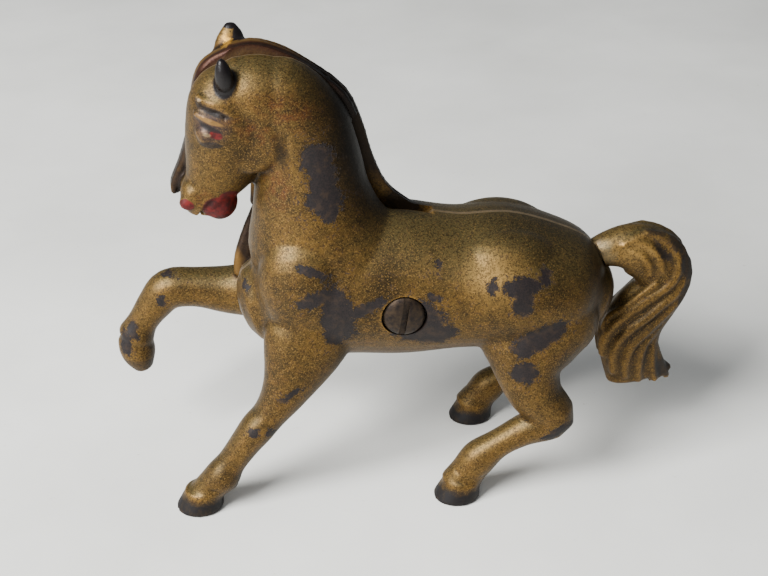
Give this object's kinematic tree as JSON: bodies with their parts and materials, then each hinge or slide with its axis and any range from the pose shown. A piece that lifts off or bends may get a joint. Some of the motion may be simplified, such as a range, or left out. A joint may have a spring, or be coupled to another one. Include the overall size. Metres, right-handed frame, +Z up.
{
  "type": "figural coin bank",
  "caption": "Cast-iron still bank shaped as a prancing horse, in hollow halves held together by a long slotted screw, with a coin slot at the base of the mane.",
  "frame": {"origin": "centre of the bounding box on the floor, under the middle of the belly", "axes": "-X towards the head, +X towards the tail, -Y towards the horse's left side, +Z up; the halves part on y = 0"},
  "size_m": [0.1274, 0.0398, 0.1037],
  "materials": {
    "left_casting": "worn bronze-gold paint on cast iron, chipped to dark metal",
    "right_casting": "worn bronze-gold paint on cast iron, chipped to dark metal",
    "screw_steel": "darkened steel with traces of bronze paint"
  },
  "bodies": {
    "left_casting": {"left_half": "left_casting"},
    "right_casting": {"right_half": "right_casting"},
    "screw": {"body_screw": "screw_steel"}
  },
  "joints": [
    {"name": "halves_part", "type": "slide", "parent": "left_casting", "child": "right_casting", "axis": [0, 1, 0], "range_m": [0, 0.008]},
    {"name": "screw_turn", "type": "hinge", "parent": "left_casting", "child": "screw", "pos_m": [-0.0005, -0.014, 0.047], "axis": [0, -1, 0], "range_deg": [0, 2722]}
  ],
  "couplings": [
    {"joint": "screw_turn", "follows": "halves_part", "rad_per_m": 5936.9}
  ]
}
